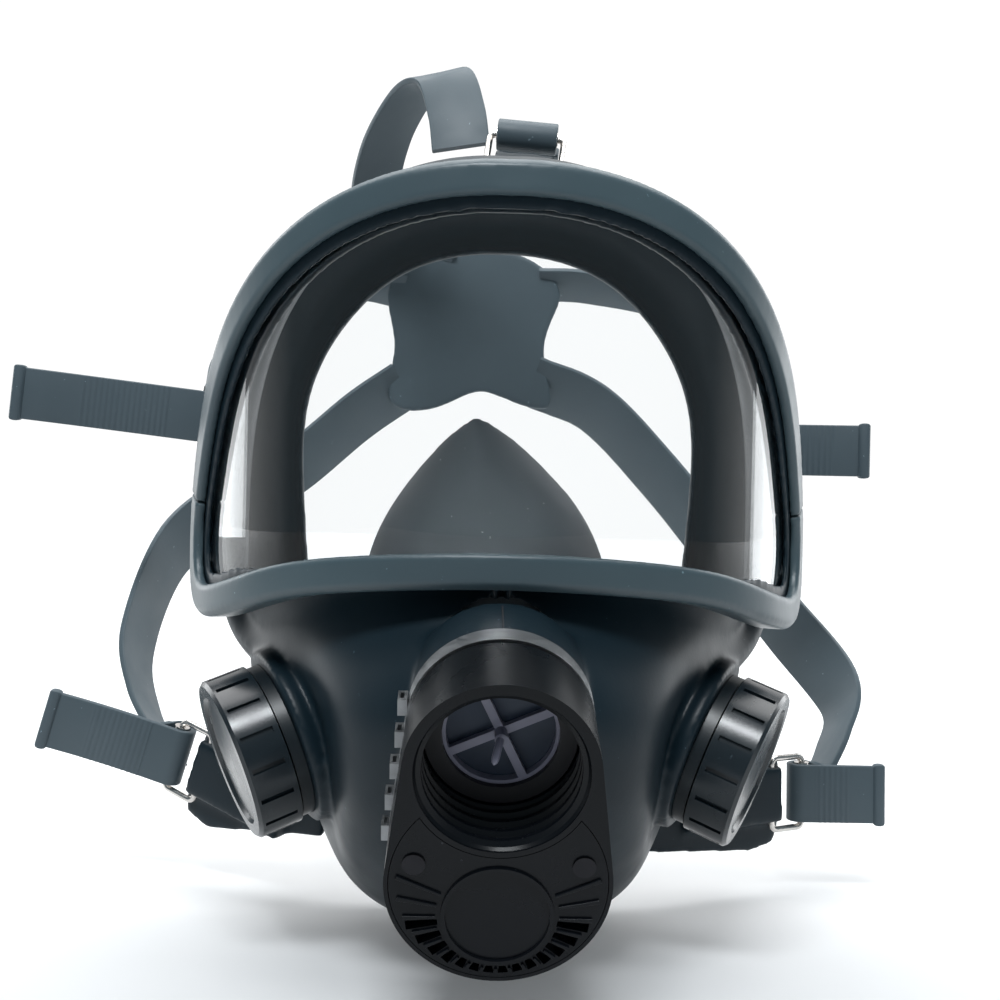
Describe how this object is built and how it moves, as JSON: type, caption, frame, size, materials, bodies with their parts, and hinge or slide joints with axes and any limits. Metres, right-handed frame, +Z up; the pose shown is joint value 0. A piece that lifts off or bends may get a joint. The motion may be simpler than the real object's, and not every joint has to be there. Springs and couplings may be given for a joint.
{
  "type": "full face respirator",
  "caption": "Full face respirator with panoramic visor, threaded breathing port, exhalation cover, capped side ports and rubber head harness.",
  "frame": {"origin": "centre of the face seal, in the plane that the rearmost part of the seal touches", "axes": "as worn: +Z up, the front of the mask towards -Y, +X to the viewer's right from the front, +Y towards the wearer's head"},
  "size_m": [0.3042, 0.2675, 0.2902],
  "materials": {
    "mask_rubber": "satin",
    "visor_clear": "clear polished",
    "frame_plastic": "satin",
    "screw_steel": "satin",
    "housing_plastic": "semi-gloss",
    "gasket_rubber": "matt",
    "valve_plastic": "translucent grey",
    "valve_rubber": "satin, thin",
    "cover_screw_black": "black",
    "clamp_steel": "satin",
    "cup_rubber": "satin",
    "strap_rubber": "satin",
    "port_plastic": "semi-gloss",
    "cap_plastic": "semi-gloss",
    "buckle_steel": "nickel plated wire"
  },
  "bodies": {
    "mask": {"facepiece": "mask_rubber", "visor": "visor_clear", "frame_upper": "frame_plastic", "frame_lower": "frame_plastic", "frame_screws": "screw_steel", "connector_housing": "housing_plastic", "port_gasket": "gasket_rubber", "inhalation_valve_seat": "valve_plastic", "exhalation_valve_seat": "valve_plastic", "exhalation_cover": "housing_plastic", "cover_screws": "cover_screw_black", "neck_clamp": "clamp_steel", "nose_cup": "cup_rubber", "harness_pad": "strap_rubber", "side_port_left": "port_plastic", "side_valve_seat_left": "valve_plastic", "nose_valve_seat_left": "valve_plastic", "side_port_right": "port_plastic", "side_valve_seat_right": "valve_plastic", "nose_valve_seat_right": "valve_plastic", "strap_top": "strap_rubber", "strap_temple_left": "strap_rubber", "strap_temple_right": "strap_rubber", "strap_lower_left": "strap_rubber", "strap_lower_right": "strap_rubber"},
    "inhalation_disc": {"inhalation_valve_disc": "valve_rubber"},
    "exhalation_disc": {"exhalation_valve_disc": "valve_rubber"},
    "side_disc_left": {"side_valve_disc_left": "valve_rubber"},
    "cap_carrier_left": {"side_cap_gasket_left": "gasket_rubber"},
    "cap_left": {"side_cap_left": "cap_plastic"},
    "nose_disc_left": {"nose_valve_disc_left": "valve_rubber"},
    "side_disc_right": {"side_valve_disc_right": "valve_rubber"},
    "cap_carrier_right": {"side_cap_gasket_right": "gasket_rubber"},
    "cap_right": {"side_cap_right": "cap_plastic"},
    "nose_disc_right": {"nose_valve_disc_right": "valve_rubber"},
    "buckle_top": {"buckle_frame_top": "buckle_steel"},
    "roller_top": {"buckle_roller_top": "buckle_steel"},
    "tail_top": {"strap_tail_top": "strap_rubber"},
    "buckle_temple_left": {"buckle_frame_temple_left": "buckle_steel"},
    "roller_temple_left": {"buckle_roller_temple_left": "buckle_steel"},
    "tail_temple_left": {"strap_tail_temple_left": "strap_rubber"},
    "buckle_temple_right": {"buckle_frame_temple_right": "buckle_steel"},
    "roller_temple_right": {"buckle_roller_temple_right": "buckle_steel"},
    "tail_temple_right": {"strap_tail_temple_right": "strap_rubber"},
    "buckle_lower_left": {"buckle_frame_lower_left": "buckle_steel"},
    "roller_lower_left": {"buckle_roller_lower_left": "buckle_steel"},
    "tail_lower_left": {"strap_tail_lower_left": "strap_rubber"},
    "buckle_lower_right": {"buckle_frame_lower_right": "buckle_steel"},
    "roller_lower_right": {"buckle_roller_lower_right": "buckle_steel"},
    "tail_lower_right": {"strap_tail_lower_right": "strap_rubber"}
  },
  "joints": [
    {"name": "inhalation_valve_lift", "type": "slide", "parent": "mask", "child": "inhalation_disc", "axis": [0, 0.9397, 0.342], "range_m": [0, 0.002], "stiffness_N_per_m": 4},
    {"name": "exhalation_valve_lift", "type": "slide", "parent": "mask", "child": "exhalation_disc", "axis": [0, -0.9397, -0.342], "range_m": [0, 0.002], "stiffness_N_per_m": 4},
    {"name": "side_valve_lift_left", "type": "slide", "parent": "mask", "child": "side_disc_left", "axis": [0.8743, 0.3444, 0.342], "range_m": [0, 0.002], "stiffness_N_per_m": 4},
    {"name": "side_cap_travel_left", "type": "slide", "parent": "mask", "child": "cap_carrier_left", "axis": [-0.8743, -0.3444, -0.342], "range_m": [0, 0.009]},
    {"name": "side_cap_turn_left", "type": "hinge", "parent": "cap_carrier_left", "child": "cap_left", "pos_m": [-0.0772, -0.068, -0.0646], "axis": [-0.8743, -0.3444, -0.342], "range_deg": [0, 1080]},
    {"name": "nose_valve_lift_left", "type": "slide", "parent": "mask", "child": "nose_disc_left", "axis": [0.8949, 0.4202, -0.1503], "range_m": [0, 0.0015], "stiffness_N_per_m": 4},
    {"name": "side_valve_lift_right", "type": "slide", "parent": "mask", "child": "side_disc_right", "axis": [-0.8743, 0.3444, 0.342], "range_m": [0, 0.002], "stiffness_N_per_m": 4},
    {"name": "side_cap_travel_right", "type": "slide", "parent": "mask", "child": "cap_carrier_right", "axis": [0.8743, -0.3444, -0.342], "range_m": [0, 0.009]},
    {"name": "side_cap_turn_right", "type": "hinge", "parent": "cap_carrier_right", "child": "cap_right", "pos_m": [0.0772, -0.068, -0.0646], "axis": [0.8743, -0.3444, -0.342], "range_deg": [0, 1080]},
    {"name": "nose_valve_lift_right", "type": "slide", "parent": "mask", "child": "nose_disc_right", "axis": [-0.8604, 0.4202, -0.2885], "range_m": [0, 0.0015], "stiffness_N_per_m": 4},
    {"name": "buckle_swing_top", "type": "hinge", "parent": "mask", "child": "buckle_top", "pos_m": [0.006, -0.016, 0.124], "axis": [0.995, -0.0552, -0.0833], "range_deg": [-3, 3]},
    {"name": "roller_spin_top", "type": "hinge", "parent": "buckle_top", "child": "roller_top", "pos_m": [0.0073, -0.00886, 0.13478], "axis": [0.995, -0.0552, -0.0833], "continuous": true},
    {"name": "tail_flex_top", "type": "hinge", "parent": "buckle_top", "child": "tail_top", "pos_m": [0.0073, -0.00886, 0.13478], "axis": [0.995, -0.0552, -0.0833], "range_deg": [0, 8], "stiffness_Nm_per_rad": 0.03},
    {"name": "buckle_swing_temple_left", "type": "hinge", "parent": "mask", "child": "buckle_temple_left", "pos_m": [-0.09, 0.002, 0.038], "axis": [0.1069, -0.0735, 0.9915], "range_deg": [-4, 4]},
    {"name": "roller_spin_temple_left", "type": "hinge", "parent": "buckle_temple_left", "child": "roller_temple_left", "pos_m": [-0.10062, 0.0093, 0.03969], "axis": [0.1069, -0.0735, 0.9915], "continuous": true},
    {"name": "tail_flex_temple_left", "type": "hinge", "parent": "buckle_temple_left", "child": "tail_temple_left", "pos_m": [-0.10062, 0.0093, 0.03969], "axis": [0.1069, -0.0735, 0.9915], "range_deg": [-4, 15], "stiffness_Nm_per_rad": 0.03},
    {"name": "buckle_swing_temple_right", "type": "hinge", "parent": "mask", "child": "buckle_temple_right", "pos_m": [0.09, 0.002, 0.033], "axis": [0, 0, -1], "range_deg": [-4, 4]},
    {"name": "roller_spin_temple_right", "type": "hinge", "parent": "buckle_temple_right", "child": "roller_temple_right", "pos_m": [0.10071, 0.00936, 0.033], "axis": [0, 0, -1], "continuous": true},
    {"name": "tail_flex_temple_right", "type": "hinge", "parent": "buckle_temple_right", "child": "tail_temple_right", "pos_m": [0.10071, 0.00936, 0.033], "axis": [0, 0, -1], "range_deg": [-4, 15], "stiffness_Nm_per_rad": 0.03},
    {"name": "buckle_swing_lower_left", "type": "hinge", "parent": "mask", "child": "buckle_lower_left", "pos_m": [-0.099, 0.01, -0.082], "axis": [0.2912, -0.1359, 0.947], "range_deg": [-4, 4]},
    {"name": "roller_spin_lower_left", "type": "hinge", "parent": "buckle_lower_left", "child": "roller_lower_left", "pos_m": [-0.11016, 0.01521, -0.07782], "axis": [0.2912, -0.1359, 0.947], "continuous": true},
    {"name": "tail_flex_lower_left", "type": "hinge", "parent": "buckle_lower_left", "child": "tail_lower_left", "pos_m": [-0.11016, 0.01521, -0.07782], "axis": [0.2912, -0.1359, 0.947], "range_deg": [-4, 15], "stiffness_Nm_per_rad": 0.03},
    {"name": "buckle_swing_lower_right", "type": "hinge", "parent": "mask", "child": "buckle_lower_right", "pos_m": [0.0985, 0.01, -0.087], "axis": [0.0182, 0.0085, -0.9998], "range_deg": [-4, 4]},
    {"name": "roller_spin_lower_right", "type": "hinge", "parent": "buckle_lower_right", "child": "roller_lower_right", "pos_m": [0.11028, 0.0155, -0.08674], "axis": [0.0182, 0.0085, -0.9998], "continuous": true},
    {"name": "tail_flex_lower_right", "type": "hinge", "parent": "buckle_lower_right", "child": "tail_lower_right", "pos_m": [0.11028, 0.0155, -0.08674], "axis": [0.0182, 0.0085, -0.9998], "range_deg": [-4, 15], "stiffness_Nm_per_rad": 0.03}
  ],
  "couplings": [
    {"joint": "side_cap_turn_left", "follows": "side_cap_travel_left", "rad_per_m": 2094.4},
    {"joint": "side_cap_turn_right", "follows": "side_cap_travel_right", "rad_per_m": 2094.4}
  ]
}
